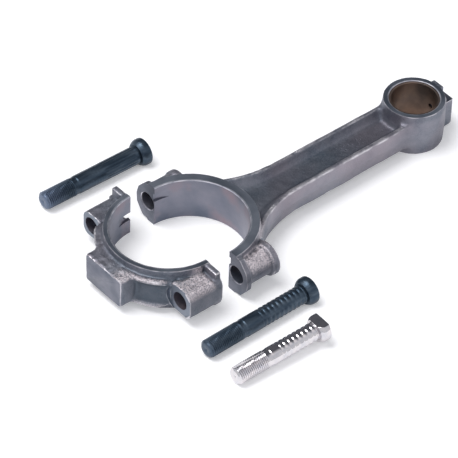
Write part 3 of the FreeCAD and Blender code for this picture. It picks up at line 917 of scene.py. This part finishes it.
def makeOxide(name, tipAmount):
    # oiled black oxide: near black blue, streaked along the bolt, rubbed lighter at the tip
    material, tree, shader, place = startMaterial(name, 0.8)
    streak = noise(tree, mapped(tree, place, Scale=oxide["streaks"]), 1.0, 4.0)
    fine = noise(tree, place, oxide["grain"], 2.0)
    lighterMask = times(tree, times(tree, pointMask(tree, "tip"), tipAmount), between(tree, fine, 0.2, 0.6))
    colour = blendColour(tree, between(tree, streak, 0.4, 0.7), oxide["base"], oxide["streak"])
    colour = blendColour(tree, lighterMask, colour, oxide["tip"])
    finishWith(tree, shader, colour, plus(tree, 0.27, times(tree, streak, 0.2)), fine, oxide["bump"])
    return material


polish = {"base": (0.70, 0.67, 0.68, 1), "hazy": (0.58, 0.575, 0.61, 1), "haze": 320.0, "bump": 0.02}


def makePolished(name):
    material, tree, shader, place = startMaterial(name)
    haze = noise(tree, place, polish["haze"], 4.0)
    colour = blendColour(tree, between(tree, haze, 0.4, 0.7), polish["base"], polish["hazy"])
    finishWith(tree, shader, colour, plus(tree, 0.06, times(tree, haze, 0.12)), haze, polish["bump"])
    return material


oxideRubbed = makeOxide("blackOxideRubbed", 0.9)
oxidePlain = makeOxide("blackOxide", 0.15)
polished = makePolished("polishedSteel")
flutedBolt = {"length": 63.0, "thread": 17.5, "heading": -1.6, "flatUp": False, "body": "bolt_fluted",
              "slot": "black_oxide_steel",
              "ribStart": 26.5, "ribEnd": 35.0, "ribPitch": 1.7, "ribDepth": 0.07,
              "fluteStart": 35.5, "fluteEnd": 56.3, "fluteCount": 14, "fluteDepth": 0.3, "tipFade": 13.0}
ribbedBolt = {"length": 66.0, "thread": 20.4, "heading": 0.6, "flatUp": False, "body": "bolt_ribbed",
              "slot": "black_oxide_steel",
              "ribStart": 32.4, "ribEnd": 59.4, "ribPitch": 2.7, "ribDepth": 0.34,
              "fluteStart": 0, "fluteEnd": 0, "fluteCount": 0, "fluteDepth": 0, "tipFade": 9.0}
polishedBolt = {"length": 53.4, "thread": 18.0, "heading": -2.0, "flatUp": True, "body": "bolt_polished",
                "slot": "polished_steel", "ribStart": 25.8, "ribEnd": 47.4, "ribPitch": 2.7, "ribDepth": 0.34,
                "fluteStart": 0, "fluteEnd": 0, "fluteCount": 0, "fluteDepth": 0, "tipFade": 9.0}
makeBolt("flutedRodBolt", "fluted_bolt", flutedBolt, oxideRubbed)
makeBolt("ribbedRodBolt", "ribbed_bolt", ribbedBolt, oxidePlain)
makeBolt("polishedRodBolt", "polished_bolt", polishedBolt, polished)


bushFinish = {"base": (0.215, 0.155, 0.125, 1), "dark": (0.12, 0.095, 0.085, 1),
              "copper": (0.36, 0.20, 0.12, 1), "lines": (80, 80, 2600), "bump": 0.02}


def makeBushMetal():
    # bronze with stains, fine lines round the bore and a copper tint low down
    material, tree, shader, place = startMaterial("bushBronze", 0.9, (smallX, 0, 0))
    stain = between(tree, noise(tree, place, 130.0, 4.0), 0.35, 0.65)
    lines = noise(tree, mapped(tree, place, Scale=bushFinish["lines"]), 1.0, 3.0)
    lower = between(tree, splitPlace(tree, place)[2], 2 * mm, -9 * mm)
    colour = blendColour(tree, stain, bushFinish["dark"], bushFinish["base"])
    colour = blendColour(tree, times(tree, lower, 0.35), colour, bushFinish["copper"])
    finishWith(tree, shader, colour, plus(tree, 0.30, times(tree, lines, 0.2)), lines, bushFinish["bump"])
    return material


def paintNode(node, material):
    mesh = frame["nodes"][node].data
    mesh.materials.clear()
    mesh.materials.append(material)


nutOxide = makeOxide("nutOxide", 0.0)
paintNode("small_end_bush", makeBushMetal())
paintNode("rod_nut_near", nutOxide)
paintNode("rod_nut_far", nutOxide)
print("bush and nuts finished")


stage = {"floor": 9.0, "floorColour": (0.90, 0.90, 0.91, 1), "lift": 0.24, "sun": 2.0, "sunAngle": 34.0,
         "sunFrom": (-0.26, 0.30, 1.0), "world": 0.92, "darkFrom": (0.487, 0.551, 0.678),
         "dark": 0.12, "darkSpan": (0.42, 0.78),
         "sky": [(0.0, (0.80, 0.81, 0.84, 1)), (0.9, (0.98, 0.96, 0.98, 1)), (0.3, (0.82, 0.83, 0.86, 1)),
                 (0.6, (0.72, 0.74, 0.80, 1))]}


def makeStage():
    half = stage["floor"] / 2 / mm
    z = benchZ - 0.03
    floor = meshFrom("benchTop", [(-half, -half, z), (half, -half, z), (half, half, z), (-half, half, z)],
                     [(0, 1, 2, 3)], [])
    material = bpy.data.materials.new("paleBench")
    material.use_nodes = True
    tree = material.node_tree
    tree.nodes.clear()
    seen = tree.nodes.new("ShaderNodeLightPath").outputs
    shade = put(tree, "ShaderNodeBsdfDiffuse", {"Color": stage["floorColour"]})
    shown = maths(tree, "MAXIMUM", seen["Is Camera Ray"], seen["Is Glossy Ray"])
    shown = maths(tree, "MAXIMUM", shown, seen["Is Transmission Ray"])
    lift = times(tree, shown, stage["lift"])
    glow = put(tree, "ShaderNodeEmission", {"Color": (1, 1, 1, 1), "Strength": lift})
    both = put(tree, "ShaderNodeAddShader", {0: shade.outputs[0], 1: glow.outputs[0]})
    put(tree, "ShaderNodeOutputMaterial", {"Surface": both.outputs[0]})
    floor.data.materials.append(material)


def makeWorld():
    # pale studio with a dark corner behind and above, so that polished steel shows dark bands
    world = bpy.data.worlds.new("studio")
    bpy.context.scene.world = world
    world.use_nodes = True
    tree = world.node_tree
    tree.nodes.clear()
    way = tree.nodes.new("ShaderNodeTexCoord").outputs["Generated"]
    ramp = put(tree, "ShaderNodeValToRGB", {"Fac": splitPlace(tree, way)[2]})
    for number, (position, colour) in enumerate(stage["sky"]):
        stops = ramp.color_ramp.elements
        stop = stops[number] if number < 2 else stops.new(position)
        stop.position, stop.color = position, colour
    toward = put(tree, "ShaderNodeVectorMath", {0: way, 1: stage["darkFrom"]}, operation="DOT_PRODUCT")
    shade = between(tree, toward.outputs["Value"], *stage["darkSpan"])
    dim = stage["dark"]
    colour = blendColour(tree, shade, ramp.outputs[0], (dim, dim * 1.05, dim * 1.2, 1))
    light = put(tree, "ShaderNodeBackground", {"Color": colour, "Strength": stage["world"]})
    put(tree, "ShaderNodeOutputWorld", {"Surface": light.outputs[0]})


def makeSun():
    lamp = bpy.data.lights.new("softKey", "SUN")
    lamp.energy = stage["sun"]
    lamp.angle = math.radians(stage["sunAngle"])
    holder = bpy.data.objects.new("softKey", lamp)
    holder.rotation_euler = Vector(stage["sunFrom"]).to_track_quat("Z", "Y").to_euler()
    bpy.context.scene.collection.objects.link(holder)


view = {"turn": 41.4988, "down": 42.6645, "roll": 1.9964, "away": 1974.47, "aimX": 26.9, "aimY": 3.09,
        "lens": 316.7, "sensor": 36.0}


def makeCamera():
    turn, down, roll = (math.radians(view[key]) for key in ("turn", "down", "roll"))
    forward = Vector((math.sin(turn) * math.cos(down), math.cos(turn) * math.cos(down), -math.sin(down)))
    right = Vector((math.cos(turn), -math.sin(turn), 0))
    up = right.cross(forward)
    axisX = right * math.cos(roll) + up * math.sin(roll)
    axisY = up * math.cos(roll) - right * math.sin(roll)
    place = Vector((view["aimX"], view["aimY"], benchZ)) - forward * view["away"]
    data = bpy.data.cameras.new("camera")
    data.lens, data.sensor_width = view["lens"], view["sensor"]
    data.clip_start, data.clip_end = 0.01, 50
    camera = bpy.data.objects.new("camera", data)
    facing = Matrix((axisX, axisY, -forward)).transposed().to_4x4()
    camera.matrix_world = Matrix.Translation(place * mm) @ facing
    bpy.context.scene.collection.objects.link(camera)
    bpy.context.scene.camera = camera


makeStage()
makeWorld()
makeSun()
makeCamera()
bpy.context.scene.view_settings.view_transform = "Standard"
print("stage, light and camera set")

bpy.context.view_layer.update()
